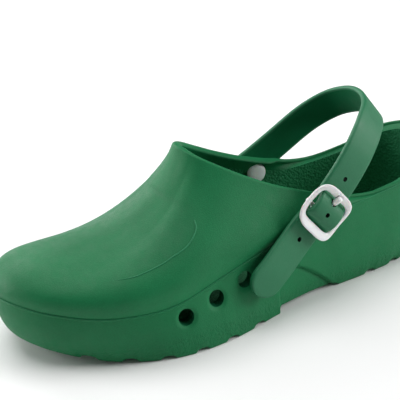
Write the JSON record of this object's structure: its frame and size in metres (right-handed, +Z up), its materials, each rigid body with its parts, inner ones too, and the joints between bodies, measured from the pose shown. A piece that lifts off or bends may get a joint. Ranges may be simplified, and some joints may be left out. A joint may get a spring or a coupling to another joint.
{
  "type": "garden clog",
  "caption": "Left foam garden clog with a closed toe, deep notched sole, side vents, loose footbed and a buckled heel strap that swings on studs.",
  "frame": {"origin": "centre of the bounding box at ground level", "axes": "+X towards the heel, +Y towards the inner side of the foot, +Z up; the outer side with the buckle faces -Y"},
  "size_m": [0.2924, 0.1182, 0.1118],
  "materials": {
    "foam": "satin moulded polyurethane foam",
    "strap": "satin soft rubber",
    "footbed": "matte grained foam",
    "white_plastic": "satin moulded"
  },
  "bodies": {
    "clog": {"upper": "foam", "sole_unit": "foam", "insole": "footbed"},
    "strap": {"heel_strap": "strap", "buckle_frame": "white_plastic", "lateral_rivet_cap": "white_plastic", "medial_rivet_stud": "white_plastic", "medial_rivet_cap": "white_plastic"},
    "prong": {"buckle_prong": "white_plastic"}
  },
  "joints": [
    {"name": "strap_swing", "type": "hinge", "parent": "clog", "child": "strap", "pos_m": [0.04037, 0.00116, 0.0573], "axis": [0, -0.999, 0.0436], "range_deg": [-12, 85]},
    {"name": "prong_lift", "type": "hinge", "parent": "strap", "child": "prong", "pos_m": [0.04037, -0.0462, 0.05937], "axis": [0.6361, -0.0337, -0.7709], "range_deg": [0, 5]}
  ]
}
